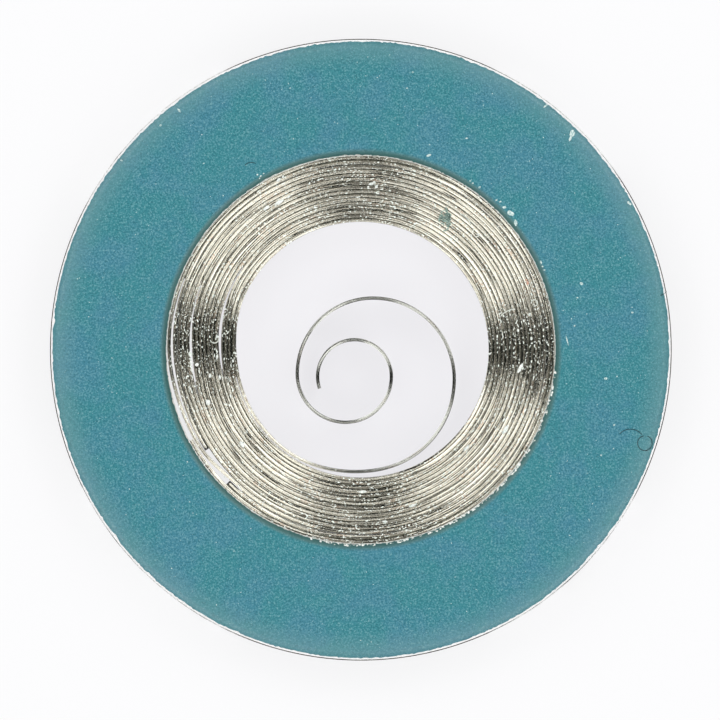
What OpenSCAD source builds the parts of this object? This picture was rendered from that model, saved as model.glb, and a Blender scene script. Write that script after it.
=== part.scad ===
// Mainspring of an automatic wrist watch, wound up inside the steel ring that keeps it coiled.
// Sizes are in millimetres. The ring lies flat on z = 0 and its centre is the origin.
// Seen from above, the strip runs inwards counter-clockwise, as a chain of arcs that meet tangent.

/* [Retaining ring] */
// Outer diameter, measured over the torn band at the foot of the wall
ring_od = 16.8; // [15:0.1:20]
// Diameter of the bore, the same as that of the barrel the spring goes into
bore_d = 10.5; // [9.5:0.1:12]
// Thickness of the steel
ring_h = 1.5; // [1.3:0.05:2.5]
// Radius that stamping rolls onto the rim's top edge
rim_roll = 0.25; // [0.1:0.05:0.5]
// Radius that stamping rolls onto the bore's top edge
bore_roll = 0.2; // [0.1:0.05:0.4]
// Height of the torn band at the foot of the outer wall
tear_h = 0.5; // [0.2:0.05:0.8]
// How far the torn band flares out at its foot
tear_flare = 0.04; // [0.02:0.01:0.1]

/* [Lacquer] */
// Thickness of the coloured film on the ring's top face
coat_t = 0.04; // [0.02:0.01:0.08]
// Width of bare metal left along the bore
bore_bare = 0.03; // [0.02:0.01:0.3]
// Width of bare metal left along the rim
rim_bare = 0.11; // [0.05:0.01:0.4]

/* [Blade] */
// Thickness of the spring-steel strip
blade_t = 0.09; // [0.07:0.005:0.11]
// Height of the strip, along the barrel's axis
blade_h = 1.2; // [0.8:0.05:1.3]
// Number of turns wound against each other inside the bridle
coil_turns = 14; // [6:1:18]
// Gap from one wound turn to the next
turn_gap = 0.02; // [0.015:0.005:0.04]
// Gap from the outermost turn to the bore
wall_gap = 0.02; // [0.01:0.005:0.05]
// Inner diameter of the eye that grips the barrel arbor
eye_d = 1.9; // [1.4:0.1:2.6]
// Length of the hole that the arbor's hook catches
hook_l = 0.8; // [0.5:0.1:1.2]
// Height of the hook hole
hook_w = 0.45; // [0.3:0.05:0.6]
// Solid strip left between the hook hole and the inner end
hook_margin = 0.5; // [0.3:0.1:1]

/* [Bridle] */
// Thickness of the bridle strip
bridle_t = 0.11; // [0.09:0.005:0.13]
// Gap from the bridle to the turn on either side
bridle_gap = 0.03; // [0.025:0.005:0.035]
// Diameter of the two welds that join the bridle to the outermost turn
weld_d = 0.4; // [0.2:0.05:0.6]

/* [Hidden] */
$fn = 96;

steel = [0.66, 0.66, 0.64];
blued = [0.80, 0.78, 0.72];
teal = [0.24, 0.55, 0.61];

bore_r = bore_d / 2;
rim_r = ring_od / 2;
wall_r = rim_r - tear_flare;
blade_z = (ring_h - blade_h) / 2;

// Radii to the middle of each strip, from the bore inwards
pitch = blade_t + turn_gap;
turn_r = bore_r - wall_gap - blade_t / 2;
bridle_r = turn_r - blade_t / 2 - bridle_gap - bridle_t / 2;
pack_r = bridle_r - bridle_t / 2 - bridle_gap - blade_t / 2;
core_r = pack_r - coil_turns * pitch;
eye_r = (eye_d + blade_t) / 2;
seam = 0.001;
lap = 0.02;

// Angles seen from above. The outermost turn ends at tail_at and comes round under its own end.
// It then crosses from outside the bridle to inside it, in the space between the bridle's two ends.
// Each turn inside it lies against the one outside, so they all step inwards at the same place.
// Each tuck or crossing is two arcs, and turn_share is how much of it the first, tighter one makes.
tail_at = 208;
tuck_from = 172;
cross_to = 230;
cross_turn = 20;
bridle_from = 225;
bridle_to = 213;
pack_tuck_from = 158;
pack_tuck_to = 206;
turn_share = 0.6;
weld_at = [229, 236];

// Turns that lie slack: [turn, how much earlier its tuck starts, how much earlier it ends]. The
// turns after it close the slack by catch_up each.
slack = [[3, 0, 15], [10, 13, 18]];
catch_up = 1.5;

// The coil leaves the wound pack at leave_at and runs free. Each stretch is [share, sweep]: its bend
// radius lies that share of the way from the eye's to the innermost wound turn's.
leave_at = 228;
peel = 25;
lead = 27;
free_coil = [
    [0.8, peel], [1.06, lead], [0.62, 360 - leave_at - peel - lead],
    [0.5, 90], [0.44, 90], [0.13, 90], [0.1, 90], [0, 199]
];

// Two arcs, as [bend radius, sweep], that take a turn of radius r inwards by drop about one centre
function jog(r, drop, first, second) =
    let (
        both = first + second,
        apart = drop * sin(both) / (sin(first) + sin(second) - sin(both))
    )
    [
        [r - apart * sin(second) / sin(both), first],
        [r - drop + apart * sin(first) / sin(both), second]
    ];
function tuck(r, sweep) = jog(r, pitch, turn_share * sweep, (1 - turn_share) * sweep);

// How much earlier than the rest the tuck of a turn starts, for item 1, or ends, for item 2
function early(turn, item) = max([
    for (s = concat([[0, 0, 0]], slack))
        turn >= s[0] ? s[item] - catch_up * (turn - s[0]) : 0
]);
function starts(turn) = pack_tuck_from - early(turn, 1);
function ends(turn) = pack_tuck_to - early(turn, 2);

// The pack: each turn runs round to its tuck and steps inwards by one pitch there
function wound(turn = 0) =
    turn == coil_turns
        ? [[core_r, leave_at - ends(turn - 1)]]
        : concat(
            [[
                pack_r - turn * pitch,
                360 - (turn == 0 ? cross_to : ends(turn - 1)) + starts(turn)
            ]],
            tuck(pack_r - turn * pitch, ends(turn) - starts(turn)),
            wound(turn + 1)
        );

blade_bends = concat(
    [[turn_r, 360 - tail_at + tuck_from]],
    tuck(turn_r, tail_at - tuck_from),
    jog(turn_r - pitch, turn_r - pitch - pack_r, cross_turn, cross_to - tail_at - cross_turn),
    wound(),
    [for (s = free_coil) [eye_r + s[0] * (core_r - eye_r), s[1]]]
);
bridle_bends = concat(
    [[bridle_r, 360 - bridle_from + pack_tuck_from]],
    tuck(bridle_r, pack_tuck_to - pack_tuck_from),
    [[bridle_r - pitch, bridle_to - pack_tuck_to]]
);

// The arcs themselves, as [centre, radius, start angle, sweep], each tangent to the one before
function arcs(bends, from) = [
    for (
        k = 0, a = from, c = [0, 0];
        k < len(bends);
        a = a + bends[k][1],
        c = k + 1 < len(bends) ? c + (bends[k][0] - bends[k + 1][0]) * [cos(a), sin(a)] : c,
        k = k + 1
    )
        [c, bends[k][0], a, bends[k][1]]
];
blade_arcs = arcs(blade_bends, tail_at);
bridle_arcs = arcs(bridle_bends, bridle_from);
eye = blade_arcs[len(blade_arcs) - 1];

// Least gap from the points along one strip to the arcs of another, or to its own from two arcs on
check_step = 5;
function faces(p, s) =
    let (a = atan2(p.y - s[0].y, p.x - s[0].x))
    ((a - s[2]) % 360 + 360) % 360 <= s[3];
function least_gap(from, to, own) = min([
    for (i = [0 : len(from) - 1])
        for (a = [from[i][2] : check_step : from[i][2] + from[i][3]])
            let (p = from[i][0] + from[i][1] * [cos(a), sin(a)])
            for (j = [own ? i + 2 : 0 : 1 : len(to) - 1])
                if (faces(p, to[j])) abs(norm(p - to[j][0]) - to[j][1])
]);
function run(arc_list, k = 0) =
    k < len(arc_list) ? arc_list[k][1] * arc_list[k][3] * PI / 180 + run(arc_list, k + 1) : 0;
echo(blade_gap = least_gap(blade_arcs, blade_arcs, true) - blade_t);
echo(bridle_gap = least_gap(bridle_arcs, blade_arcs, false) - (blade_t + bridle_t) / 2);
echo(blade_length = run(blade_arcs), bridle_length = run(bridle_arcs), eye_centre = eye[0]);

// Half section of the ring, grown by a film of thickness grow over its top and its walls
module ring_section(grow = 0) {
    inner = bore_r - grow;
    outer = wall_r + grow;
    top = ring_h + grow;
    difference() {
        polygon([[inner, 0], [rim_r + grow, 0], [outer, tear_h], [outer, top], [inner, top]]);
        difference() {
            translate([inner, top - bore_roll - grow]) square(bore_roll + grow);
            translate([bore_r + bore_roll, ring_h - bore_roll]) circle(bore_roll + grow);
        }
        difference() {
            translate([outer - rim_roll - grow, top - rim_roll - grow]) square(rim_roll + grow);
            translate([wall_r - rim_roll, ring_h - rim_roll]) circle(rim_roll + grow);
        }
    }
}

// A strip standing on edge along a chain of arcs. Every other arc is thinner by seam and laps into
// its neighbours, so that the strip fuses into one piece.
module strip(arc_list, t) {
    for (k = [0 : len(arc_list) - 1]) {
        s = arc_list[k];
        odd = k % 2;
        before = odd * lap / s[1] * 180 / PI;
        after = k < len(arc_list) - 1 ? before : 0;
        width = t - odd * seam;
        translate([s[0].x, s[0].y, blade_z])
            rotate_extrude(angle = s[3] + before + after, start = s[2] - before)
                translate([s[1] - width / 2, 0])
                    square([width, blade_h]);
    }
}

// Slot with round ends, cut along +X through a strip that crosses the X axis at distance r
module hook_hole(r) {
    straight = hook_l - hook_w;
    translate([r, 0, 0]) rotate([0, 90, 0]) {
        for (side = [-1, 1])
            translate([0, side * straight / 2, 0])
                cylinder(d = hook_w, h = 4 * blade_t, center = true);
        cube([hook_w, straight, 4 * blade_t], center = true);
    }
}

module retaining_ring() {
    color(steel) rotate_extrude() ring_section();
}

module lacquer_coat() {
    color(teal) rotate_extrude() intersection() {
        difference() {
            ring_section(coat_t);
            ring_section();
        }
        translate([bore_r + bore_bare, ring_h - rim_roll])
            square([wall_r - rim_bare - bore_r - bore_bare, rim_roll + 2 * coat_t]);
    }
}

module blade() {
    hook_at = eye[2] + eye[3] - (hook_margin + hook_l / 2) / eye_r * 180 / PI;
    color(blued) difference() {
        strip(blade_arcs, blade_t);
        translate([eye[0].x, eye[0].y, blade_z + blade_h / 2])
            rotate([0, 0, hook_at])
                hook_hole(eye_r);
    }
}

// The bridle's welds fill the gap to the outermost turn, so their faces follow that turn
module bridle() {
    weld_in = bridle_r + bridle_t / 4;
    weld_out = turn_r - blade_t / 2;
    color(steel) {
        strip(bridle_arcs, bridle_t);
        intersection() {
            for (a = weld_at)
                rotate([0, 0, a])
                    translate([weld_in, 0, ring_h / 2])
                        rotate([0, 90, 0])
                            cylinder(d = weld_d, h = blade_t + bridle_t);
            difference() {
                cylinder(r = weld_out, h = ring_h);
                translate([0, 0, -ring_h]) cylinder(r = weld_in, h = 3 * ring_h);
            }
        }
    }
}

retaining_ring();
lacquer_coat();
blade();
bridle();
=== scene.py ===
"""Dresses a wrist-watch mainspring, wound up in its lacquered steel ring, for a studio picture.

Lengths are in millimetres and angles in degrees. A piece is modelled with one unit to the
millimetre and brought to metres when it is done. The ring lies on z = 0 with its centre at the
origin, and the picture looks straight down on it with +Y up.
"""

import logging
import random
from collections.abc import Callable
from dataclasses import dataclass
from enum import Enum
from math import cos, degrees, hypot, radians, sin

import bpy
from mathutils import Matrix, Vector


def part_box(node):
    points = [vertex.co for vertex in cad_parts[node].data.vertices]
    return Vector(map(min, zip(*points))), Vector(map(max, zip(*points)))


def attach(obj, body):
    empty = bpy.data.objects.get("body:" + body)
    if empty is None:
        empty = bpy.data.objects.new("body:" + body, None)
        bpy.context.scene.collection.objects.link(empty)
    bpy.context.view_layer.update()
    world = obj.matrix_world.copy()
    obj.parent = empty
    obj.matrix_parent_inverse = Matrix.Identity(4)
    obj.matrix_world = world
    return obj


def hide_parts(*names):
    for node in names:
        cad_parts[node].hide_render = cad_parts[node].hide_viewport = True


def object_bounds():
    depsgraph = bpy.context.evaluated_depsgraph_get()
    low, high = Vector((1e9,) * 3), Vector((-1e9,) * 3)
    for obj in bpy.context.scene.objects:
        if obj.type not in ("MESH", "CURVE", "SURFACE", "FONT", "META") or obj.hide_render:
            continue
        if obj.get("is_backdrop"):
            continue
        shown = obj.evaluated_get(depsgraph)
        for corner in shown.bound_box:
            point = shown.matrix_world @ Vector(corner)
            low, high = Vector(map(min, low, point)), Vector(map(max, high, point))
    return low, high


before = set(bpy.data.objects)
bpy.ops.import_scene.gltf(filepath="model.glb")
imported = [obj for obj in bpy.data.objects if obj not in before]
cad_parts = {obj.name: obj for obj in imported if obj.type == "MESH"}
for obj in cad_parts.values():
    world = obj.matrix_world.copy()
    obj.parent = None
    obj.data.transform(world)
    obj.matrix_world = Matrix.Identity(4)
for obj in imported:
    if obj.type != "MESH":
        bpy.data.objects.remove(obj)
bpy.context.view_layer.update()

MM = 0.001
Colour = tuple[float, float, float, float]
Scales = tuple[float, float, float]
Point = tuple[float, float]
Piece = bpy.types.Object
Socket = bpy.types.NodeSocket
Value = float | Socket
log = logging.getLogger("mainspring")


class Body(Enum):
    """The two bodies that move apart when the coil is pushed out of its ring."""

    RING = "ring"
    SPRING = "spring"


class Slot(Enum):
    """The record's material slots."""

    RING_STEEL = "ring_steel"
    LACQUER = "teal_lacquer"
    SPRING_STEEL = "spring_steel"
    BRIDLE_STEEL = "bridle_steel"


def linear(red: int, green: int, blue: int) -> Colour:
    """Turns a screen's colour, in shares from 0 to 255, into the linear one that a shader takes."""
    shares = (channel / 255 for channel in (red, green, blue))
    return (*(s / 12.92 if s <= 0.04045 else ((s + 0.055) / 1.055) ** 2.4 for s in shares), 1.0)


class Sketch:
    """The node tree of a material or of the world, under construction."""

    def __init__(self, owner: bpy.types.Material | bpy.types.World) -> None:
        """Starts with an empty tree.

        Args:
            owner: The material or world that the tree belongs to.
        """
        owner.use_nodes = True
        self.owner = owner
        self.tree = owner.node_tree
        self.tree.nodes.clear()

    @classmethod
    def of_material(cls, name: str) -> "Sketch":
        """Starts a new material."""
        return cls(bpy.data.materials.new(name))

    def add(self, kind: str, sockets: dict | None = None, **settings) -> bpy.types.Node:
        """Adds a node and fills its inputs.

        Args:
            kind: Type of the node, without the ShaderNode in front.
            sockets: Values or other nodes' outputs for inputs, by name or number.
            **settings: Properties of the node itself.

        Returns:
            The new node.
        """
        node = self.tree.nodes.new("ShaderNode" + kind)
        for name, value in settings.items():
            setattr(node, name, value)
        for name, value in (sockets or {}).items():
            if isinstance(value, Socket):
                self.tree.links.new(value, node.inputs[name])
            else:
                node.inputs[name].default_value = value
        return node

    def maths(self, operation: str, *values: Value) -> Socket:
        """Adds a Math node and returns its result."""
        return self.add("Math", dict(enumerate(values)), operation=operation).outputs[0]

    def fade(
        self, value: Value, low: float, high: float, start: float = 0.0, end: float = 1.0
    ) -> Socket:
        """Maps a value smoothly from the span low to high onto start to end, and stops there."""
        sockets = {"Value": value, 1: low, 2: high, 3: start, 4: end}
        return self.add("MapRange", sockets, interpolation_type="SMOOTHSTEP").outputs[0]

    def blend(self, share: Value, first: Colour | Socket, second: Colour | Socket) -> Socket:
        """Mixes two colours, with the second one's share from 0 to 1."""
        return self.add("Mix", {0: share, 6: first, 7: second}, data_type="RGBA").outputs[2]

    def noise(
        self, vector: Socket, scale: float | Scales, detail: float = 2.0, roughness: float = 0.5
    ) -> Socket:
        """Adds a Noise texture.

        Args:
            vector: Where the texture is read.
            scale: Its scale, or one along each axis.
            detail: How many finer layers it has.
            roughness: How strong the finer layers are.

        Returns:
            Its grey value.
        """
        if isinstance(scale, tuple):
            vector, scale = self.stretch(vector, scale), 1.0
        sockets = {"Vector": vector, "Scale": scale, "Detail": detail, "Roughness": roughness}
        return self.add("TexNoise", sockets).outputs[0]

    def stretch(self, vector: Socket, scales: Scales) -> Socket:
        """Multiplies a vector by one scale along each axis."""
        return self.add("VectorMath", {0: vector, 1: scales}, operation="MULTIPLY").outputs[0]

    def place(self) -> Socket:
        """Returns the piece's own coordinates in millimetres."""
        metres = self.add("TexCoord").outputs["Object"]
        return self.add("VectorMath", {0: metres, 3: 1 / MM}, operation="SCALE").outputs[0]

    def distance_out(self, place: Socket) -> Socket:
        """Returns how far a place lies from the ring's axis, in millimetres."""
        flat = self.stretch(place, (1, 1, 0))
        return self.add("VectorMath", {0: flat}, operation="LENGTH").outputs["Value"]

    def finish(
        self, bump: Socket, relief: float, colour: Socket, metal: Value, rough: Value,
        shine: Value = 0.5,
    ) -> bpy.types.Material:
        """Closes a material's tree with one Principled surface.

        Args:
            bump: Height for the bump.
            relief: Height of a full step of the bump, in millimetres.
            colour: Colour of the surface.
            metal: How metallic it is, from 0 to 1.
            rough: How rough it is, from 0 to 1.
            shine: How strongly it mirrors where it isn't metal, from 0 to 1.

        Returns:
            The finished material.
        """
        height = {"Height": bump, "Distance": relief * MM, "Strength": 1.0}
        surface = self.add("BsdfPrincipled", {
            "Base Color": colour, "Metallic": metal, "Roughness": rough,
            "Specular IOR Level": shine, "Normal": self.add("Bump", height).outputs[0],
        })
        self.add("OutputMaterial", {"Surface": surface.outputs[0]})
        return self.owner


@dataclass(frozen=True)
class StripSteel:
    """Drawn spring strip: fine grooves along it, one edge more worn, and clinging pale dust.

    The grooves tilt the light sideways only, so a coil shines in fans below the lamps and stays
    dark between them. The free inner coil carries less dust, and is drawn greyer and darker as
    painted shade for its dark side walls. The bridle's ends get a near-black outline: painted shade
    on their end faces and edges.
    """

    name: str
    length: float
    free_length: float = 0.0
    end_shade_length: float = 0.0
    pale: Colour = linear(203, 200, 187)
    dull: Colour = linear(190, 183, 168)
    tarnish: Colour = linear(176, 148, 126)
    worn: Colour = linear(108, 132, 118)
    dust: Colour = linear(246, 254, 246)
    # Darker grey of the free coil: painted shade standing for its dark side walls.
    free_coil_shade: Colour = linear(118, 125, 128)
    # Near-black of the bridle's ends: painted shade on their end faces and edges.
    scale: Colour = linear(22, 20, 18)
    grooves: Scales = (0.5, 60.0, 41.3)
    lines: Scales = (0.2, 21.0, 9.7)
    dents: Scales = (9.0, 14.0, 14.3)
    patches: Scales = (1.6, 4.0, 4.3)
    specks: Scales = (15.0, 24.0, 24.3)
    flakes: Scales = (7.0, 13.0, 13.3)
    groove_depth: float = 0.014
    line_depth: float = 0.012
    dent_depth: float = 0.003
    dust_drift: Point = (-0.06, 0.07)
    dust_cover: Point = (0.625, 0.655)
    flake_cover: Point = (0.66, 0.69)
    worn_side: Point = (0.03, 0.05)
    tarnished: float = 0.5
    free_start: Point = (0.5, 2.5)
    free_coil_shade_share: float = 0.55
    cleaner: float = 0.8
    wear: float = 0.16
    outline: Point = (0.026, 0.036)
    roughness: float = 0.1
    roughened: float = 0.5

    def make(self) -> bpy.types.Material:
        """Makes the finish, which follows the strip by its flow attribute.

        Returns:
            The material.
        """
        s = Sketch.of_material(self.name)
        flow = s.add("Attribute", attribute_name="flow").outputs["Vector"]
        grooves = s.noise(flow, self.grooves, 0.0)
        lines = s.noise(flow, self.lines, 1.0, 0.6)
        dents = s.noise(flow, self.dents, 1.0, 0.6)
        height = s.maths("MULTIPLY", grooves, self.groove_depth)
        height = s.maths("MULTIPLY_ADD", lines, self.line_depth, height)
        height = s.maths("MULTIPLY_ADD", dents, self.dent_depth, height)
        patches = s.noise(flow, self.patches, 3.0, 0.6)
        specks = s.noise(flow, self.specks, 2.0, 0.5)
        flakes = s.noise(flow, self.flakes, 2.0, 0.6)
        specks = s.maths("ADD", s.fade(patches, 0.35, 0.7, *self.dust_drift), specks)
        dust = s.maths(
            "MAXIMUM", s.fade(specks, *self.dust_cover), s.fade(flakes, *self.flake_cover)
        )
        along, across, _ = s.add("SeparateXYZ", {0: flow}).outputs
        free_from = self.length - self.free_length
        free = s.fade(along, *(free_from + run for run in self.free_start))
        dust = s.maths("MULTIPLY", dust, s.maths("MULTIPLY_ADD", free, -self.cleaner, 1.0))
        side = s.fade(s.maths("MULTIPLY_ADD", lines, 0.08, across), *self.worn_side)
        worn = s.maths("MULTIPLY", side, s.fade(patches, 0.3, 0.7, 0.1, self.wear))
        colour = s.blend(side, self.pale, self.dull)
        colour = s.blend(s.fade(patches, 0.52, 0.68, 0.0, self.tarnished), colour, self.tarnish)
        colour = s.blend(worn, colour, self.worn)
        # Painted shade: the free coil is drawn darker and greyer.
        colour = s.blend(s.maths("MULTIPLY", free, self.free_coil_shade_share), colour, self.free_coil_shade)
        colour = s.blend(dust, colour, self.dust)
        matt = s.maths("MAXIMUM", dust, worn)
        metal = s.maths("SUBTRACT", 1.0, matt)
        rough = s.maths("MULTIPLY_ADD", matt, self.roughened, self.roughness)
        # Painted shade: a near-black outline along the edges and tips near the bridle's ends.
        if self.end_shade_length:
            from_end = s.maths("MINIMUM", along, s.maths("SUBTRACT", self.length, along))
            aside = s.maths("ABSOLUTE", across)
            outline = s.fade(aside, *self.outline)
            corner = s.maths("MULTIPLY_ADD", aside, -1.2, from_end)
            tip = s.fade(corner, self.end_shade_length / 18, self.end_shade_length / 11, 1.0, 0.0)
            near = s.fade(from_end, self.end_shade_length / 2, self.end_shade_length, 0.97, 0.0)
            end_shade = s.maths("MULTIPLY", near, s.maths("MAXIMUM", outline, tip))
            colour = s.blend(end_shade, colour, self.scale)
            metal = s.maths("SUBTRACT", metal, end_shade)
            rough = s.maths("MAXIMUM", rough, s.maths("MULTIPLY", end_shade, 0.6))
        return s.finish(height, 1.0, colour, metal, rough)


@dataclass(frozen=True)
class GapShade:
    """A dark film that fills the narrow gaps between the wound turns: painted shade, standing for
    the shade deep in these gaps.
    """

    name: str = "painted_gap_shade"
    # Lighter and darker tones of the painted gap shade, mixed at random.
    pale_tone: Colour = linear(150, 149, 132)
    thick: Colour = linear(66, 68, 58)
    gap_mottle: Scales = (4.0, 20.0, 8.3)
    roughness: Point = (0.15, 0.3)
    relief: float = 0.003
    gloss: float = 0.72

    def make(self) -> bpy.types.Material:
        """Makes the finish.

        Returns:
            The material.
        """
        s = Sketch.of_material(self.name)
        flow = s.add("Attribute", attribute_name="flow").outputs["Vector"]
        gap_mottle = s.noise(flow, self.gap_mottle, 3.0, 0.6)
        colour = s.blend(s.fade(gap_mottle, 0.4, 0.62), self.thick, self.pale_tone)
        rough = s.fade(gap_mottle, 0.3, 0.7, *self.roughness)
        return s.finish(gap_mottle, self.relief, colour, self.gloss, rough)


@dataclass(frozen=True)
class RingSteel:
    """Stamped mild steel: a rolled rim, a sheared wall, a fractured foot and a rolled underside.

    The rim's roll is drawn plain white, a painted highlight. The foot is a real dark fractured band,
    drawn near-black between the lamps' diagonals and white near them: a painted reflection of the
    lamps.
    """

    name: str = "stamped_ring_steel"
    pale: Colour = linear(214, 214, 209)
    dull: Colour = linear(128, 127, 122)
    # White of the rim's roll: a painted highlight.
    roll_highlight: Colour = linear(255, 255, 255)
    # Near-black of the foot: partly its real fractured band, partly painted shade between the lamps.
    torn_and_shaded: Colour = linear(26, 21, 18)
    frayed: Colour = linear(104, 98, 92)
    # White of the foot towards the lamps' diagonals: a painted highlight.
    foot_highlight: Colour = linear(255, 255, 255)
    grain: Scales = (0.6, 14.0, 1.0)
    wall: Scales = (60.0, 1.2, 0.0)
    tears: Scales = (0.16, 3.0, 0.0)
    stretches: Scales = (0.05, 0.0, 0.0)
    roughness: Point = (0.28, 0.55)
    relief: float = 0.008
    wall_from: float = 8.2
    foot_from: float = 8.34
    torn_to: float = 0.5
    torn_cover: Point = (0.72, 0.88)
    lamp_quartering: float = 0.22
    raggedness: float = 0.3
    roll_from: float = 1.27

    def make(self) -> bpy.types.Material:
        """Makes the finish.

        Returns:
            The material.
        """
        s = Sketch.of_material(self.name)
        place = s.place()
        x, y, z = s.add("SeparateXYZ", {0: place}).outputs
        angle = s.maths("ARCTAN2", y, x)
        wall = s.stretch(s.add("CombineXYZ", {0: angle, 1: z}).outputs[0], self.wall)
        sheared = s.noise(wall, 1.6, 4.0, 0.65)
        grain = s.noise(place, self.grain, 4.0, 0.6)
        marks = s.add("Mix", {0: s.fade(z, 0.0, 0.05, 1.0, 0.0), 2: sheared, 3: grain}).outputs[0]
        out = s.distance_out(place)
        outside = s.fade(out, self.wall_from, self.wall_from + 0.02)
        level = s.maths("SUBTRACT", z, self.raggedness / 2)
        ragged = s.maths("MULTIPLY_ADD", sheared, self.raggedness, level)
        rolled = s.maths("MULTIPLY", outside, s.fade(ragged, self.roll_from - 0.05, self.roll_from))
        torn_and_shaded = s.noise(wall, self.tears, 4.0, 0.75)
        stretches = s.noise(wall, self.stretches, 1.0)
        # Painted reflection: the foot turns near-black between the lamps' diagonals and white
        # towards them.
        quarters = s.maths("COSINE", s.maths("MULTIPLY", angle, 4.0))
        torn_and_shaded = s.maths("MULTIPLY_ADD", stretches, 0.8, torn_and_shaded)
        torn_and_shaded = s.maths("MULTIPLY_ADD", quarters, self.lamp_quartering, torn_and_shaded)
        torn_and_shaded = s.fade(torn_and_shaded, *self.torn_cover)
        streaks = s.fade(sheared, 0.4, 0.62)
        dark = s.blend(streaks, self.torn_and_shaded, self.frayed)
        bright = s.blend(streaks, self.pale, self.foot_highlight)
        foot = s.fade(out, self.foot_from, self.foot_from + 0.01)
        foot = s.maths("MULTIPLY", foot, s.fade(ragged, self.torn_to - 0.1, self.torn_to, 1.0, 0.0))
        colour = s.blend(s.fade(marks, 0.35, 0.65), self.dull, self.pale)
        # Painted highlight: the rolled rim is drawn plain white and not metallic.
        colour = s.blend(rolled, colour, self.roll_highlight)
        colour = s.blend(foot, colour, s.blend(torn_and_shaded, bright, dark))
        metal = s.maths("SUBTRACT", 1.0, s.maths("MAXIMUM", rolled, foot))
        rough = s.maths("MULTIPLY_ADD", foot, 0.4, s.fade(marks, 0.3, 0.7, *self.roughness))
        shine = s.maths("MULTIPLY_ADD", foot, -0.5, 0.5)
        return s.finish(marks, self.relief, colour, metal, rough, shine)


@dataclass(frozen=True)
class Lacquer:
    """Teal metallic lacquer: a fine pale and dark grain, thinner and greyer towards its rim, and
    darker and greyer towards the bore: painted shade on the bore's roll.
    """

    name: str = "teal_speckled_lacquer"
    body: Colour = linear(44, 126, 136)
    blue: Colour = linear(60, 124, 146)
    dark: Colour = linear(18, 96, 108)
    pale: Colour = linear(112, 162, 168)
    glint: Colour = linear(180, 214, 214)
    # Darker grey-teal near the bore: painted shade on the bore's roll.
    inner: Colour = linear(62, 98, 92)
    outer: Colour = linear(104, 144, 148)
    grain: float = 0.05
    relief: float = 0.004
    bore_shade_span: Point = (5.31, 5.46)
    outer_edge: Point = (7.5, 8.24)
    roughness: float = 0.42

    def make(self) -> bpy.types.Material:
        """Makes the finish.

        Returns:
            The material.
        """
        s = Sketch.of_material(self.name)
        place = s.place()
        fine = s.noise(place, 1 / self.grain, 2.0, 0.7)
        broad = s.noise(place, 0.7, 3.0, 0.6)
        stars = s.noise(s.stretch(place, (1.0, 1.0, 0.1)), 1.9 / self.grain, 1.0, 0.5)
        colour = s.blend(s.fade(broad, 0.38, 0.64, 0.0, 0.8), self.body, self.blue)
        colour = s.blend(s.fade(fine, 0.32, 0.5, 0.75, 0.0), colour, self.dark)
        colour = s.blend(s.fade(fine, 0.5, 0.7, 0.0, 0.75), colour, self.pale)
        colour = s.blend(s.fade(stars, 0.7, 0.76, 0.0, 0.8), colour, self.glint)
        out = s.distance_out(place)
        colour = s.blend(s.fade(out, *self.outer_edge, 0.0, 0.42), colour, self.outer)
        # Painted shade: darker and greyer over the bore's roll.
        colour = s.blend(s.fade(out, *self.bore_shade_span, 0.8, 0.0), colour, self.inner)
        return s.finish(fine, self.relief, colour, 0.0, self.roughness)


@dataclass(frozen=True)
class Fluff:
    """Loose dirt of one colour: crumbs of lacquer, white dust or fibres."""

    name: str
    colour: Colour
    shade: Colour
    roughness: float = 0.75
    relief: float = 0.006

    def make(self) -> bpy.types.Material:
        """Makes the finish.

        Returns:
            The material.
        """
        s = Sketch.of_material(self.name)
        blotches = s.noise(s.place(), 30.0, 2.0, 0.6)
        colour = s.blend(s.fade(blotches, 0.35, 0.65), self.shade, self.colour)
        return s.finish(blotches, self.relief, colour, 0.0, self.roughness)


@dataclass(frozen=True)
class Arc:
    """One stretch of a strip: part of a circle seen from above, run counter-clockwise."""

    centre: Point
    radius: float
    start: float
    sweep: float

    @property
    def length(self) -> float:
        """Length of the stretch."""
        return self.radius * radians(self.sweep)

    def point(self, angle: float) -> Point:
        """Returns the point at an angle."""
        x, y = self.centre
        return x + self.radius * cos(radians(angle)), y + self.radius * sin(radians(angle))


Bend = tuple[float, float]


def chain(bends: list[Bend], start: float) -> list[Arc]:
    """Lays arcs end to end, each tangent to the one before, from a first one about the axis.

    Args:
        bends: Radius and sweep of each arc.
        start: Angle at which the first arc starts.

    Returns:
        The arcs with their centres.
    """
    arcs = []
    x, y, angle = 0.0, 0.0, start
    for i, (radius, sweep) in enumerate(bends):
        arcs.append(Arc((x, y), radius, angle, sweep))
        angle += sweep
        step = radius - bends[min(i + 1, len(bends) - 1)][0]
        x += step * cos(radians(angle))
        y += step * sin(radians(angle))
    return arcs


def jog(radius: float, drop: float, first: float, second: float) -> list[Bend]:
    """Takes a turn inwards by drop, about one centre, in two tangent arcs.

    Args:
        radius: Radius of the turn before.
        drop: How far inwards it goes.
        first: Sweep of the first, tighter arc.
        second: Sweep of the second, wider arc.

    Returns:
        The two bends.
    """
    one, two, both = (sin(radians(a)) for a in (first, second, first + second))
    apart = drop * both / (one + two - both)
    return [(radius - apart * two / both, first), (radius - drop + apart * one / both, second)]


def leave_edit() -> None:
    """Goes back to object mode, if it isn't on already."""
    if bpy.context.mode != "OBJECT":
        bpy.ops.object.mode_set(mode="OBJECT")


def select(*pieces: Piece) -> None:
    """Leaves edit mode and selects pieces, and nothing else.

    Args:
        *pieces: The pieces, of which the first becomes the active one.
    """
    leave_edit()
    bpy.ops.object.select_all(action="DESELECT")
    for piece in pieces:
        piece.select_set(True)
    if pieces:
        bpy.context.view_layer.objects.active = pieces[0]


def edit(piece: Piece) -> None:
    """Opens a piece alone for editing, with all of its mesh selected.

    Args:
        piece: The piece.
    """
    select(piece)
    bpy.ops.object.mode_set(mode="EDIT")
    bpy.ops.mesh.select_all(action="SELECT")


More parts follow.
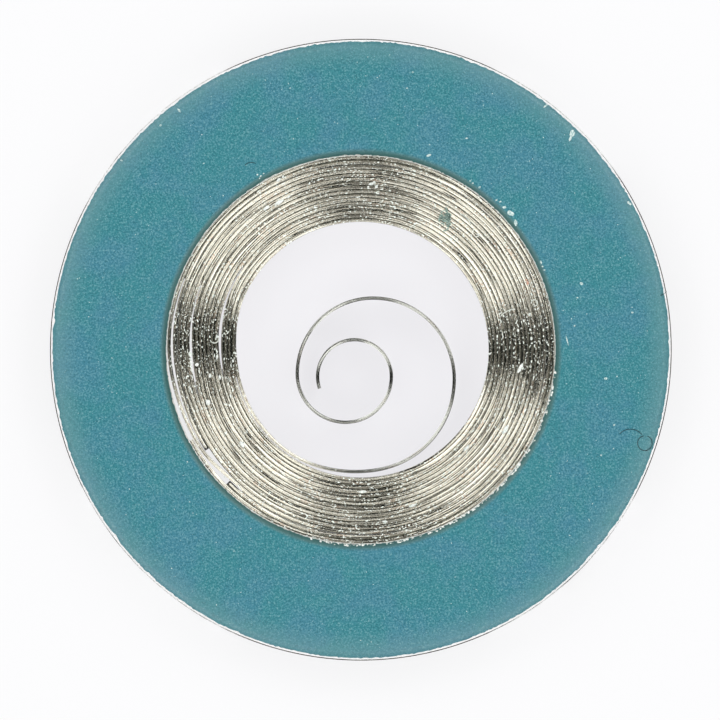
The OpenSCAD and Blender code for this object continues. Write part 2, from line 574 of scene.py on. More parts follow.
def pick(piece: Piece, wanted: Callable[[bpy.types.MeshVertex], bool]) -> None:
    """Opens a piece for editing with only some vertices selected, and the edges between them.

    Args:
        piece: The piece.
        wanted: Tells of each vertex whether it is selected.
    """
    edit(piece)
    bpy.ops.mesh.select_mode(type="VERT")
    bpy.ops.mesh.select_all(action="DESELECT")
    leave_edit()
    for vertex in piece.data.vertices:
        vertex.select = wanted(vertex)
    bpy.ops.object.mode_set(mode="EDIT")


def close(piece: Piece, gap: float, sharp: float = 40) -> None:
    """Closes a piece that was joined from parts and turns all of its faces outwards.

    Args:
        piece: The piece.
        gap: Vertices that lie closer than this are merged.
        sharp: Edges that turn by more than this many degrees stay sharp.
    """
    edit(piece)
    bpy.ops.mesh.remove_doubles(threshold=gap)
    bpy.ops.mesh.fill_holes(sides=0)
    bpy.ops.mesh.normals_make_consistent(inside=False)
    leave_edit()
    if sum(face.area * face.normal.dot(face.center) for face in piece.data.polygons) < 0:
        edit(piece)
        bpy.ops.mesh.flip_normals()
        leave_edit()
    bpy.ops.object.shade_smooth_by_angle(angle=radians(sharp))


def join(pieces: list[Piece], name: str) -> Piece:
    """Joins pieces into one.

    Args:
        pieces: The pieces, of which the first takes in the others.
        name: Name of the result.

    Returns:
        The joined piece.
    """
    select(*pieces)
    if len(pieces) > 1:
        bpy.ops.object.join()
    pieces[0].name = name
    return pieces[0]


def placed_copy(piece: Piece, where: Matrix) -> Piece:
    """Copies a piece with a mesh of its own.

    Args:
        piece: The piece.
        where: How the copy is moved, which is applied to its mesh.

    Returns:
        The copy.
    """
    copy = piece.copy()
    copy.data = piece.data.copy()
    copy.data.transform(where)
    bpy.context.collection.objects.link(copy)
    return copy


def revolve(section: Piece, steps: int, name: str) -> Piece:
    """Turns a section about the Z axis: a quarter is spun and copied three times.

    Args:
        section: The section in the XZ plane, which becomes part of the result.
        steps: Steps of a full turn.
        name: Name of the result.

    Returns:
        The quarters joined into one piece, of which nothing is merged yet.
    """
    edit(section)
    bpy.ops.mesh.spin(steps=steps // 4, angle=-radians(90), center=(0, 0, 0), axis=(0, 0, 1))
    leave_edit()
    quarters = [placed_copy(section, Matrix.Rotation(radians(a), 4, "Z")) for a in (90, 180, 270)]
    return join([section, *quarters], name)


@dataclass
class Strip:
    """A spring strip that stands on edge along a chain of arcs."""

    arcs: list[Arc]
    thickness: float
    height: float
    foot: float
    edge_round: float
    round_segments: int = 5
    step: float = 3.0

    def profile(self) -> Piece:
        """Models the strip's section, with round corners.

        Returns:
            A closed ring of edges across the X axis.
        """
        select()
        bpy.ops.mesh.primitive_plane_add(
            size=1, location=(0, 0, self.foot + self.height / 2), rotation=(radians(90), 0, 0)
        )
        section = bpy.context.object
        section.scale = (self.thickness, self.height, 1)
        bpy.ops.object.transform_apply()
        edit(section)
        bpy.ops.mesh.bevel(offset=self.edge_round, segments=self.round_segments, affect="VERTICES")
        bpy.ops.mesh.delete(type="ONLY_FACE")
        leave_edit()
        return section

    def stretch(self, profile: Piece, arc: Arc, run: float) -> Piece:
        """Spins a copy of the section along one arc.

        Args:
            profile: The section.
            arc: The arc to follow.
            run: Length of strip before this arc.

        Returns:
            The stretch of strip, open at both ends, with its flow attribute: how far along, how far
            out and how high on the strip each point lies.
        """
        outs = [vertex.co.x for vertex in profile.data.vertices]
        turned = Matrix.Rotation(radians(arc.start), 4, "Z")
        reach = Matrix.Translation((arc.radius, 0, 0))
        piece = placed_copy(profile, Matrix.Translation((*arc.centre, 0)) @ turned @ reach)
        steps = max(1, round(arc.sweep / self.step))
        edit(piece)
        bpy.ops.mesh.spin(
            steps=steps, angle=-radians(arc.sweep), center=(*arc.centre, 0), axis=(0, 0, 1)
        )
        leave_edit()
        flow = piece.data.attributes.new("flow", "FLOAT_VECTOR", "POINT")
        for i, vertex in enumerate(piece.data.vertices):
            ring, place = divmod(i, len(outs))
            flow.data[i].vector = (run + ring / steps * arc.length, outs[place], vertex.co.z)
        return piece

    def build(self, name: str) -> Piece:
        """Models the strip.

        Args:
            name: Name of the piece.

        Returns:
            The strip, still one unit to the millimetre.
        """
        profile = self.profile()
        stretches, run = [], 0.0
        for arc in self.arcs:
            stretches.append(self.stretch(profile, arc, run))
            run += arc.length
        bpy.data.objects.remove(profile)
        strip = join(stretches, name)
        close(strip, self.thickness / 1000, 50)
        return strip


def dress(piece: Piece, material: bpy.types.Material) -> None:
    """Gives a piece one material all over."""
    piece.data.materials.clear()
    piece.data.materials.append(material)


def seat(
    piece: Piece, material: bpy.types.Material, body: Body, node: str = ""
) -> None:
    """Scales a finished piece to metres, dresses it and hands it to the body that it moves with.

    Args:
        piece: The piece, in millimetres.
        material: Its finish.
        body: Body that it rides on.
        node: Packed node that it takes the place of, if any.
    """
    select(piece)
    piece.scale = (MM, MM, MM)
    bpy.ops.object.transform_apply()
    dress(piece, material)
    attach(piece, body.value)
    if node:
        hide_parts(node)
    log.info("%s: %d faces", piece.name, len(piece.data.polygons))


@dataclass
class Mainspring:
    """The blade, wound inside its bridle, with its free inner coil."""

    bore_radius: float = 5.25
    thickness: float = 0.09
    turn_gap: float = 0.02
    coil_turns: int = 14
    eye_diameter: float = 1.9
    bridle_thickness: float = 0.11
    bridle_gap: float = 0.03
    hook_length: float = 0.8
    hook_height: float = 0.45
    hook_margin: float = 0.5
    weld_diameter: float = 0.4
    blade_round: float = 0.009
    bridle_round: float = 0.025
    gap_shade_depth: float = 0.015
    gap_shade_overlap: float = 0.001
    tail_at: float = 208
    tuck_from: float = 172
    cross_to: float = 230
    cross_turn: float = 20
    bridle_from: float = 225
    bridle_to: float = 213
    pack_tuck: Point = (158, 206)
    turn_share: float = 0.6
    slack: tuple[tuple[float, float, float], ...] = ((3, 0, 15), (10, 13, 18))
    catch_up: float = 1.5
    weld_at: Point = (229, 236)
    leave_at: float = 228
    peel: float = 25
    lead: float = 27

    def __post_init__(self) -> None:
        """Works out the radii to the middle of each strip, from the bore inwards."""
        self.pitch = self.thickness + self.turn_gap
        self.turn_radius = self.bore_radius - self.turn_gap - self.thickness / 2
        between = (self.thickness + self.bridle_thickness) / 2 + self.bridle_gap
        self.bridle_radius = self.turn_radius - between
        self.pack_radius = self.bridle_radius - between
        self.core_radius = self.pack_radius - self.coil_turns * self.pitch
        self.eye_radius = (self.eye_diameter + self.thickness) / 2
        low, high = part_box("blade")
        self.foot = low.z / MM
        self.height = (high.z - low.z) / MM

    def tuck(self, radius: float, sweep: float) -> list[Bend]:
        """Steps a turn inwards by one pitch."""
        return jog(radius, self.pitch, self.turn_share * sweep, (1 - self.turn_share) * sweep)

    def early(self, turn: int) -> Point:
        """Works out how much earlier than the rest a turn steps inwards.

        Args:
            turn: Number of the turn, from the pack's outermost one.

        Returns:
            How much earlier its tuck starts, and how much earlier it ends.
        """
        closed = [(turn - slack, start, end) for slack, start, end in self.slack if turn >= slack]
        starts = [start - self.catch_up * since for since, start, _ in closed]
        ends = [end - self.catch_up * since for since, _, end in closed]
        return max([0.0, *starts]), max([0.0, *ends])

    def wound(self) -> list[Bend]:
        """Winds the pack: each turn runs round to its tuck and steps inwards there.

        Returns:
            The pack's bends, from the outermost turn inwards.
        """
        bends = []
        radius, angle = self.pack_radius, self.cross_to
        for turn in range(self.coil_turns):
            start, end = (at - by for at, by in zip(self.pack_tuck, self.early(turn)))
            bends.append((radius, 360 - angle + start))
            bends += self.tuck(radius, end - start)
            radius, angle = radius - self.pitch, end
        return bends + [(radius, self.leave_at - angle)]

    def free_coil(self) -> list[Bend]:
        """Runs the strip free from the pack to the eye that grips the arbor.

        Returns:
            The free coil's bends, of which the last is the eye.
        """
        rest = 360 - self.leave_at - self.peel - self.lead
        stretches = (
            (0.8, self.peel), (1.06, self.lead), (0.62, rest), (0.5, 90), (0.44, 90), (0.13, 90),
            (0.1, 90), (0, 199),
        )
        spare = self.core_radius - self.eye_radius
        return [(self.eye_radius + share * spare, sweep) for share, sweep in stretches]

    def blade_arcs(self) -> list[Arc]:
        """Lays out the whole blade.

        Returns:
            Its arcs, from its outer end to its inner one.
        """
        tucked = self.turn_radius - self.pitch
        cross_rest = self.cross_to - self.tail_at - self.cross_turn
        bends = [(self.turn_radius, 360 - self.tail_at + self.tuck_from)]
        bends += self.tuck(self.turn_radius, self.tail_at - self.tuck_from)
        bends += jog(tucked, tucked - self.pack_radius, self.cross_turn, cross_rest)
        return chain(bends + self.wound() + self.free_coil(), self.tail_at)

    def bridle_arcs(self) -> list[Arc]:
        """Lays out the bridle, inside the outermost turn.

        Returns:
            Its arcs.
        """
        start, end = self.pack_tuck
        bends = [(self.bridle_radius, 360 - self.bridle_from + start)]
        bends += self.tuck(self.bridle_radius, end - start)
        bends.append((self.bridle_radius - self.pitch, self.bridle_to - end))
        return chain(bends, self.bridle_from)

    def cut_hook_hole(self, blade: Piece, eye: Arc) -> None:
        """Cuts the round-ended slot for the arbor's hook.

        Args:
            blade: The blade.
            eye: Its last arc, near the end of which the slot lies.
        """
        back = self.hook_margin + self.hook_length / 2
        at = eye.start + eye.sweep - degrees(back / eye.radius)
        middle = Vector((*eye.point(at), self.foot + self.height / 2))
        select()
        bpy.ops.mesh.primitive_cube_add(size=1)
        cutter = bpy.context.object
        size = (4 * self.thickness, self.hook_length, self.hook_height, 1)
        cutter.data.transform(Matrix.Diagonal(size))
        edit(cutter)
        bpy.ops.mesh.select_all(action="DESELECT")
        leave_edit()
        for edge in cutter.data.edges:
            a, b = (cutter.data.vertices[i].co for i in edge.vertices)
            edge.select = abs(a.x - b.x) > self.thickness
        bpy.ops.object.mode_set(mode="EDIT")
        bpy.ops.mesh.select_mode(type="EDGE")
        bpy.ops.mesh.bevel(offset=self.hook_height / 2 * 0.99, segments=8, affect="EDGES")
        leave_edit()
        cutter.data.transform(Matrix.Translation(middle) @ Matrix.Rotation(radians(at), 4, "Z"))
        select(blade)
        cut = blade.modifiers.new("hook_hole", "BOOLEAN")
        cut.object, cut.operation, cut.solver = cutter, "DIFFERENCE", "MANIFOLD"
        bpy.ops.object.modifier_apply(modifier=cut.name)
        bpy.data.objects.remove(cutter)

    def weld(self, angle: float) -> Piece:
        """Models one weld, a short round pin between the bridle and the outermost turn.

        Args:
            angle: Where it sits.

        Returns:
            The pin.
        """
        reach = self.turn_radius - self.thickness / 2 - self.bridle_radius
        out = self.bridle_radius + reach / 2
        turned = Matrix.Rotation(radians(angle), 4, "Z")
        select()
        bpy.ops.mesh.primitive_cylinder_add(
            vertices=24, radius=self.weld_diameter / 2, depth=reach, rotation=(0, radians(90), 0)
        )
        pin = bpy.context.object
        bpy.ops.object.transform_apply()
        pin.data.transform(turned @ Matrix.Translation((out, 0, self.foot + self.height / 2)))
        return pin

    def gap_shade_arcs(self, blade: list[Arc], bridle: list[Arc]) -> list[Arc]:
        """Follows the narrow gaps of the pack.

        Args:
            blade: The blade's arcs.
            bridle: The bridle's arcs.

        Returns:
            The middle line of every gap, without the stretches where a slack turn opens it.
        """
        pack = blade[-len(self.wound() + self.free_coil()):]
        gaps = []
        for turn in range(self.coil_turns):
            now, before = self.early(turn), self.early(turn - 1)
            slack = any(a - b > self.catch_up for a, b in zip(now, before))
            long, *tuck = pack[3 * turn:3 * turn + 3]
            for arc in [long] if slack else [long, *tuck]:
                gaps.append(Arc(arc.centre, arc.radius + self.pitch / 2, arc.start, arc.sweep))
        rim = bridle[0]
        out = rim.radius + (self.bridle_thickness + self.bridle_gap) / 2
        return [*gaps, Arc(rim.centre, out, rim.start, rim.sweep)]

    def build(self) -> None:
        """Models the blade, the bridle and the dark gap film, a painted shade, and hands them to the
        spring's body.
        """
        blade_arcs, bridle_arcs = self.blade_arcs(), self.bridle_arcs()
        blade = Strip(
            blade_arcs, self.thickness, self.height, self.foot, self.blade_round
        ).build("blade_strip")
        self.cut_hook_hole(blade, blade_arcs[-1])
        length = sum(arc.length for arc in blade_arcs)
        free_length = sum(arc.length for arc in blade_arcs[-len(self.free_coil()):])
        steel = StripSteel("drawn_spring_steel", length, free_length).make()
        seat(blade, steel, Body.SPRING, "blade")

        strip = Strip(
            bridle_arcs, self.bridle_thickness, self.height, self.foot, self.bridle_round
        ).build("bridle_strip")
        bridle = join([strip, *(self.weld(angle) for angle in self.weld_at)], "bridle_strip")
        length = sum(arc.length for arc in bridle_arcs)
        steel = StripSteel("drawn_bridle_steel", length, end_shade_length=0.45).make()
        seat(bridle, steel, Body.SPRING, "bridle")

        # Painted shade: a dark film set into the narrow gaps between turns, where there is only
        # shade deep in the pack.
        gap_shade = Strip(
            self.gap_shade_arcs(blade_arcs, bridle_arcs), self.turn_gap + 2 * self.gap_shade_overlap,
            self.height - 2 * self.gap_shade_depth, self.foot + self.gap_shade_depth, 0.005, round_segments=1,
        ).build("gap_shade_film")
        seat(gap_shade, GapShade().make(), Body.SPRING)


@dataclass
class RetainingRing:
    """The stamped ring that keeps the coil wound, with the lacquer film on its top."""

    bore_radius: float = 5.25
    rim_radius: float = 8.4
    height: float = 1.5
    bore_roll: float = 0.2
    rim_roll: float = 0.25
    tear_height: float = 0.5
    tear_flare: float = 0.04
    film: float = 0.04
    bore_bare: float = 0.03
    rim_bare: float = 0.11
    roll_segments: int = 16
    steps: int = 720
    burr: float = 0.022
    burr_drop: float = 0.124
    burr_jitter: float = 0.55
    overspray: float = 0.05
    ragged: float = 0.03
    merge: float = 0.0002
    near: float = 0.001

    @property
    def wall_radius(self) -> float:
        """Radius of the outer wall above the torn band."""
        return self.rim_radius - self.tear_flare

    def section(self) -> Piece:
        """Models the ring's section.

        Returns:
            A closed ring of edges across the X axis.
        """
        select()
        bpy.ops.mesh.primitive_plane_add(size=1, rotation=(radians(90), 0, 0))
        section = bpy.context.object
        half = self.height / 2
        middle = (self.bore_radius + self.wall_radius) / 2
        section.location = (middle, 0, half)
        section.scale = (self.wall_radius - self.bore_radius, self.height, 1)
        bpy.ops.object.transform_apply()
        pick(section, lambda v: v.co.x > self.wall_radius - self.near)
        bpy.ops.mesh.subdivide(number_cuts=1)
        pick(section, lambda v: abs(v.co.z - half) < self.near)
        bpy.ops.transform.translate(value=(0, 0, self.tear_height - half))
        pick(section, lambda v: v.co.x > self.wall_radius - self.near and v.co.z < self.near)
        bpy.ops.transform.translate(value=(self.tear_flare, 0, 0))
        top = self.height - self.near
        for inner, roll in ((True, self.bore_roll), (False, self.rim_roll)):
            pick(section, lambda v: v.co.z > top and (v.co.x < middle) == inner)
            bpy.ops.mesh.bevel(offset=roll, segments=self.roll_segments, affect="VERTICES")
        bpy.ops.mesh.select_all(action="SELECT")
        bpy.ops.mesh.delete(type="ONLY_FACE")
        leave_edit()
        return section

    def body(self) -> Piece:
        """Models the steel ring.

        Returns:
            The ring.
        """
        body = revolve(self.section(), self.steps // 2, "ring_body")
        close(body, self.merge)
        return body

    def burr_bead(self) -> Piece:
        """Models the ragged burr that stamping raised along the bore's edge.

        Returns:
            The burr, a bead of ragged thickness.
        """
        select()
        bpy.ops.mesh.primitive_circle_add(
            vertices=8, radius=self.burr, rotation=(radians(90), 0, 0),
            location=(self.bore_radius, 0, self.height - self.burr_drop),
        )
        circle = bpy.context.object
        bpy.ops.object.transform_apply()
        bead = revolve(circle, self.steps, "bore_burr")
        close(bead, self.merge)
        edit(bead)
        bpy.ops.transform.vertex_random(offset=self.burr * self.burr_jitter, seed=3)
        leave_edit()
        return bead

    def coat(self) -> Piece:
        """Models the lacquer film.

        Returns:
            The film, with ragged edges.
        """
        section = self.section()
        inner = self.bore_radius + self.bore_bare
        outer = self.wall_radius - self.rim_bare + self.overspray
        top = self.height - self.rim_roll
        pick(section, lambda v: not (inner <= v.co.x <= outer and v.co.z > top))
        bpy.ops.mesh.delete(type="VERT")
        leave_edit()
        film = revolve(section, self.steps, "lacquer_film")
        edit(film)
        bpy.ops.mesh.remove_doubles(threshold=self.merge)
        leave_edit()
        outs = [hypot(v.co.x, v.co.y) for v in film.data.vertices]
        for edge, seed in ((max(outs), 5), (min(outs), 9)):
            pick(film, lambda v: abs(hypot(v.co.x, v.co.y) - edge) < 2 * self.near)
            bpy.ops.transform.vertex_random(offset=self.ragged, seed=seed)
        leave_edit()
        upward = sum(face.normal.z * face.area for face in film.data.polygons) > 0
        thick = film.modifiers.new("thickness", "SOLIDIFY")
        thick.thickness, thick.offset = self.film, 1.0 if upward else -1.0
        bpy.ops.object.modifier_apply(modifier=thick.name)
        close(film, self.merge)
        return film

    def build(self) -> None:
        """Models the ring, its burr and its film and hands them to the ring's body."""
        seat(self.body(), RingSteel().make(), Body.RING, "retaining_ring")
        burr = Fluff("raised_burr", linear(254, 254, 250), linear(222, 224, 218), 0.4)
        seat(self.burr_bead(), burr.make(), Body.RING)
        seat(self.coat(), Lacquer().make(), Body.RING, "lacquer_coat")


Crumb = tuple[float, float, float, float, float]


@dataclass(frozen=True)
class Face:
    """A face that dirt lies on: what it belongs to and how high it lies."""

    body: Body
    slot: Slot
    level: float


@dataclass
class Dirt:
    """Crumbs on one face: some laid one by one and fine ones strewn at random.

    A crumb is given by where it lies, its length, its width and the angle it is turned by.
    """

    name: str
    face: Face
    finish: Fluff
    crumbs: tuple[Crumb, ...]
    strewn: int
    reach: Point
    size: Point = (0.02, 0.05)
    flatness: float = 0.35
    sector: Point = (0, 360)
    tallest: float = 0.04
    raggedness: float = 0.2
    seed: int = 1

    def shape(self, detail: int, seed: int) -> Piece:
        """Models a ragged crumb, of which copies are laid out.

        Args:
            detail: How finely it is divided.
            seed: Seed of its ragged form.

        Returns:
            The crumb, one unit across.
        """
        select()
        bpy.ops.mesh.primitive_ico_sphere_add(subdivisions=detail, radius=0.5)
        crumb = bpy.context.object
        edit(crumb)
        bpy.ops.transform.vertex_random(offset=self.raggedness, seed=seed)
        leave_edit()
        return crumb

    def lay(self, shape: Piece, crumb: Crumb) -> Piece:
        """Lays one crumb down.

        Args:
            shape: The crumb that is copied.
            crumb: Its place, length, width and turn.

        Returns:
            The copy, sunk a little into the face.
        """
        x, y, length, width, turn = crumb
        tall = min(width * self.flatness * 2, self.tallest)
        size = Matrix.Diagonal((length, width, tall, 1))
        turned = Matrix.Rotation(radians(turn), 4, "Z")
        middle = Matrix.Translation((x, y, self.face.level + tall / 4))
        return placed_copy(shape, middle @ turned @ size)

    def build(self) -> None:
        """Models all the crumbs as one piece and hands it to its body."""
        chance = random.Random(self.seed)
        large, fine = ([self.shape(detail, seed) for seed in (1, 2, 3)] for detail in (2, 1))
        pieces = [self.lay(chance.choice(large), crumb) for crumb in self.crumbs]
        for _ in range(self.strewn):
            out = chance.uniform(*(r * r for r in self.reach)) ** 0.5
            at = radians(chance.uniform(*self.sector))
            width = chance.uniform(*self.size) * chance.uniform(0.5, 1)
            crumb = (out * cos(at), out * sin(at), width * 1.5, width, chance.uniform(0, 180))
            pieces.append(self.lay(chance.choice(fine), crumb))
        for shape in large + fine:
            bpy.data.objects.remove(shape)
        seat(join(pieces, self.name), self.finish.make(), self.face.body)


@dataclass
class Fibres:
    """Fine lint on one face."""

    name: str
    face: Face
    finish: Fluff
    arcs: list[Arc]
    thickness: float = 0.016

    def build(self) -> None:
        """Models the fibres as one piece and hands it to its body."""
        lint = Strip(
            self.arcs, self.thickness, self.thickness, self.face.level, self.thickness / 4,
            round_segments=1, step=12,
        ).build(self.name)
        seat(lint, self.finish.make(), self.face.body)


def litter() -> list[Dirt | Fibres]:
    """Lists the loose dirt that the part carries in the picture.

    Returns:
        Its crumbs and fibres, ready to be built.
    """
    coil = Face(Body.SPRING, Slot.SPRING_STEEL, 1.35)
    lacquer = Face(Body.RING, Slot.LACQUER, 1.54)
    white = Fluff("white_dust", linear(254, 255, 251), linear(206, 216, 210))
    chips = Fluff("pale_crumbs", linear(226, 238, 234), linear(150, 186, 186))
    grit = Fluff("pink_grit", linear(236, 190, 168), linear(196, 140, 120))
    coil_crumbs = (
        (-4.6, -0.12, 0.14, 0.1, 100), (-4.57, -0.42, 0.42, 0.05, 97), (-4.42, -0.4, 0.1, 0.09, 20),
        (-3.88, 0.35, 0.08, 0.06, 70), (-3.88, -0.19, 0.12, 0.06, 85), (-4.07, -0.7, 0.12, 0.07, 80),
        (-3.8, -0.74, 0.12, 0.06, 100), (-4.12, -1.42, 0.16, 0.12, 100),
        (-3.51, -1.25, 0.1, 0.05, 110), (-3.2, -2.55, 0.2, 0.1, 120),
        (-4.54, 0.76, 0.06, 0.05, 0), (-3.45, -0.3, 0.08, 0.05, 90),
        (0.28, 4.47, 0.14, 0.07, 10), (0.42, 4.4, 0.1, 0.07, 60), (0.36, 4.52, 0.07, 0.05, 0),
        (0.2, 4.39, 0.06, 0.05, 30), (4.3, -0.5, 0.3, 0.09, 62), (3.9, -2.15, 0.26, 0.1, 60),
        (4.55, 0.95, 0.09, 0.07, 80), (4.6, 0.3, 0.1, 0.06, 90), (4.24, 0.52, 0.09, 0.06, 90),
        (-2.55, 3.82, 0.2, 0.09, 35), (-2.2, 3.98, 0.24, 0.1, 30), (-1.95, 4.12, 0.12, 0.06, 30),
        (-2.22, 4.58, 0.14, 0.07, 45), (-2.1, 4.67, 0.08, 0.05, 60), (3.17, 3.1, 0.08, 0.05, 130),
        (0.05, -3.83, 0.2, 0.07, 5), (0.65, -4.63, 0.12, 0.06, 0), (-0.6, -4.02, 0.12, 0.05, 170),
        (0.75, -3.9, 0.08, 0.05, 10), (1.4, -4.2, 0.2, 0.06, 20), (2.85, -2.65, 0.22, 0.07, 45),
        (0.9, 3.85, 0.1, 0.05, 170),
    )
    pink_crumbs = ((4.5, 1.8, 0.1, 0.05, 100), (4.46, 1.88, 0.05, 0.04, 0))
    lacquer_crumbs = (
        (-2.79, 4.72, 0.05, 0.04, 0), (-2.7, 4.68, 0.06, 0.04, 40), (-2.62, 4.75, 0.04, 0.03, 0),
        (-2.73, 4.62, 0.04, 0.03, 60), (1.83, 5.24, 0.12, 0.06, 20), (2.95, 4.55, 0.05, 0.04, 0),
        (3.02, 4.49, 0.05, 0.04, 0), (3.2, 4.38, 0.07, 0.05, 30), (3.66, 4.03, 0.06, 0.04, 0),
        (3.76, 3.99, 0.08, 0.04, 20), (3.87, 3.84, 0.1, 0.07, 0), (4.04, 3.68, 0.2, 0.13, 150),
        (4.17, 3.42, 0.17, 0.08, 100), (4.86, 2.36, 0.09, 0.05, 110), (4.9, 2.24, 0.05, 0.04, 0),
        (4.95, 2.15, 0.06, 0.04, 0), (5.7, 5.83, 0.2, 0.13, 75), (7.24, 3.95, 0.14, 0.07, 140),
        (5.95, 1.78, 0.1, 0.07, 150), (6.6, -0.78, 0.09, 0.07, 0), (5.84, 1.4, 0.05, 0.04, 0),
        (5.76, 0.64, 0.05, 0.04, 0), (7.32, 1.0, 0.06, 0.05, 0), (2.85, 5.7, 0.06, 0.04, 0),
        (1.24, 7.05, 0.05, 0.04, 0), (1.4, 7.48, 0.06, 0.04, 0), (-5.4, 6.05, 0.06, 0.05, 45),
        (5.56, 0.25, 0.26, 0.03, 105), (6.83, -2.03, 0.06, 0.05, 0), (6.48, -2.85, 0.05, 0.04, 0),
        (-4.9, 6.45, 0.13, 0.05, 125), (-6.45, 5.1, 0.07, 0.04, 140), (5.65, 5.7, 0.17, 0.06, 65),
        (4.98, 6.57, 0.15, 0.05, 40),
    )
    hair = Fluff("dark_hair", linear(34, 58, 62), linear(18, 36, 40))
    lint = Fluff("pale_lint", linear(240, 244, 236), linear(196, 204, 196))
    tuft = Fluff("teal_lint", linear(168, 190, 180), linear(110, 138, 128))
    chance = random.Random(4)
    knot = [
        Arc((2.26 + chance.gauss(0, 0.035), 3.53 + chance.gauss(0, 0.1)),
            chance.uniform(0.05, 0.13), chance.uniform(0, 360), chance.uniform(40, 120))
        for _ in range(40)
    ]
    return [
        Dirt("coil_dust", coil, white, coil_crumbs, 220, (3.7, 5.1)),
        Dirt(
            "lacquer_dust", lacquer, chips, lacquer_crumbs, 260, (5.5, 8.1), (0.014, 0.034),
            tallest=0.02, seed=2,
        ),
        Dirt(
            "burr_crumbs", Face(Body.RING, Slot.RING_STEEL, 1.4), white, (), 300, (5.242, 5.288),
            (0.03, 0.08), seed=3,
        ),
        Dirt(
            "burr_flakes", Face(Body.RING, Slot.RING_STEEL, 1.47), white, (), 170, (5.25, 5.33),
            (0.03, 0.08), sector=(255, 355), tallest=0.06, seed=5,
        ),
        Dirt("pink_crumb", coil, grit, pink_crumbs, 0, (4, 5)),
        Fibres("lacquer_hair", Face(Body.RING, Slot.LACQUER, 1.536), hair, [
            Arc((7.27, -2.54), 0.4, 39, 98), Arc((7.66, -2.52), 0.2, 100, 330),
            Arc((-2.95, 4.81), 0.24, 62, 76), Arc((8.0, 1.75), 0.3, 285, 40),
        ]),
        Fibres("coil_lint", coil, lint, [
            Arc((4.68, 1.26), 0.085, -100, 290), Arc((4.16, 0.59), 0.5, 90, 50),
            Arc((2.5, 3.2), 0.5, 20, 50), Arc((-3.95, 0.3), 0.12, 200, 200),
        ], 0.024),
        Fibres("teal_tuft", coil, tuft, knot, 0.028),
    ]


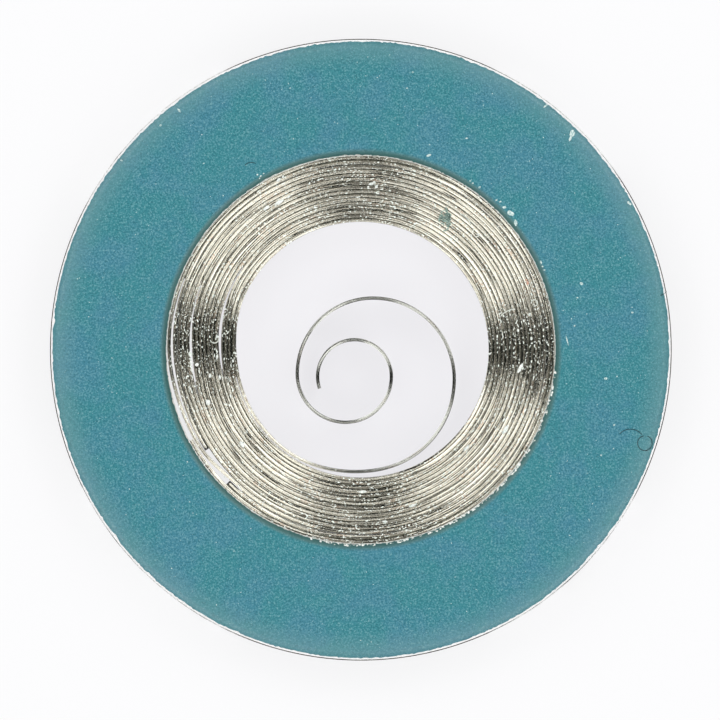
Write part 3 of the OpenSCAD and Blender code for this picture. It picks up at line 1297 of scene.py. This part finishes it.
@dataclass
class Studio:
    """Pale floor, four soft boxes at the corners, a dim sky and the camera above."""

    picture_width: float = 19.41
    picture_centre: Point = (-0.022, -0.278)
    lens: float = 1200.0
    sensor: float = 36.0
    lamp_distance: float = 120.0
    lamp_tilt: float = 45.0
    lamp_size: Point = (84.0, 96.0)
    lamp_power: float = 0.069
    white: Colour = linear(250, 250, 251)
    bore_floor_shade: Colour = linear(243, 242, 246)
    bore_floor_shade_span: Point = (3.4, 5.2)
    floor_glow: float = 0.85
    floor_drop: float = 0.002
    sky_tint: Colour = linear(196, 232, 214)
    horizon: Point = (0.02, 0.25)
    sky_glow: Point = (0.05, 0.012)

    def floor(self) -> None:
        """Lays the floor just under the ring: white where it is seen, slightly darker and lilac
        inside the bore as painted shade, and it keeps the shadow.
        """
        select()
        bpy.ops.mesh.primitive_plane_add(size=6, location=(0, 0, -self.floor_drop * MM))
        floor = bpy.context.object
        floor.name = "floor"
        s = Sketch.of_material("pale_floor")
        rays = s.add("LightPath").outputs
        seen = s.maths("MAXIMUM", rays["Is Camera Ray"], rays["Is Glossy Ray"])
        seen = s.maths("MAXIMUM", seen, rays["Is Transmission Ray"])
        # Painted shade: the floor is drawn a little darker and lilac inside the ring's bore.
        inside = s.fade(s.distance_out(s.place()), *self.bore_floor_shade_span, 1.0, 0.0)
        shade = s.blend(inside, self.white, self.bore_floor_shade)
        glow = s.add("Emission", {"Color": shade, "Strength": 1.0}).outputs[0]
        plain = s.add("BsdfDiffuse", {"Color": self.white}).outputs[0]
        share = s.maths("MULTIPLY", seen, self.floor_glow)
        mixed = s.add("MixShader", {0: share, 1: plain, 2: glow}).outputs[0]
        below = s.add("NewGeometry").outputs["Backfacing"]
        clear = s.add("BsdfTransparent").outputs[0]
        surface = s.add("MixShader", {0: below, 1: mixed, 2: clear}).outputs[0]
        s.add("OutputMaterial", {"Surface": surface})
        dress(floor, s.owner)
        floor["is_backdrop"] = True

    def sky(self) -> None:
        """Lights the world: dim at the horizon, darker overhead, white where it is seen."""
        world = bpy.data.worlds.new("dim_sky")
        bpy.context.scene.world = world
        s = Sketch(world)
        place = s.add("TexCoord").outputs["Generated"]
        upward = s.add("SeparateXYZ", {0: place}).outputs[2]
        strength = s.fade(upward, *self.horizon, *self.sky_glow)
        glow = s.add("Background", {"Color": self.sky_tint, "Strength": strength}).outputs[0]
        backdrop = s.add("Background", {"Color": self.white}).outputs[0]
        seen = s.add("LightPath").outputs["Is Camera Ray"]
        mixed = s.add("MixShader", {0: seen, 1: glow, 2: backdrop}).outputs[0]
        s.add("OutputWorld", {"Surface": mixed})

    def lamps(self) -> None:
        """Hangs a soft box over each corner of the picture."""
        for corner in (45, 135, 225, 315):
            level = self.lamp_distance * sin(radians(self.lamp_tilt)) * MM
            place = Vector((
                level * cos(radians(corner)),
                level * sin(radians(corner)),
                self.lamp_distance * cos(radians(self.lamp_tilt)) * MM,
            ))
            aim = (-place).to_track_quat("-Z", "Y").to_euler()
            bpy.ops.object.light_add(type="AREA", location=place, rotation=aim)
            lamp = bpy.context.object
            lamp.name = f"soft_box_{corner}"
            lamp.data.shape = "RECTANGLE"
            lamp.data.size, lamp.data.size_y = (side * MM for side in self.lamp_size)
            lamp.data.energy = self.lamp_power
            lamp.visible_camera = False

    def camera(self) -> None:
        """Sets the camera high above, looking straight down through a long lens."""
        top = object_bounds()[1].z
        away = self.picture_width * self.lens / self.sensor * MM
        x, y = (c * MM for c in self.picture_centre)
        bpy.ops.object.camera_add(location=(x, y, top + away), rotation=(0, 0, 0))
        camera = bpy.context.object
        camera.data.lens = self.lens
        camera.data.sensor_width = self.sensor
        camera.data.clip_start = 0.001
        camera.data.clip_end = 10
        bpy.context.scene.camera = camera

    def build(self) -> None:
        """Sets up the whole studio."""
        self.camera()
        self.floor()
        self.sky()
        self.lamps()
        bpy.context.scene.view_settings.view_transform = "Standard"


def main() -> None:
    """Builds the studio and the object."""
    logging.basicConfig(level=logging.INFO, format="%(name)s: %(message)s")
    Studio().build()
    RetainingRing().build()
    Mainspring().build()
    for dirt in litter():
        dirt.build()


if __name__ == "__main__":
    main()
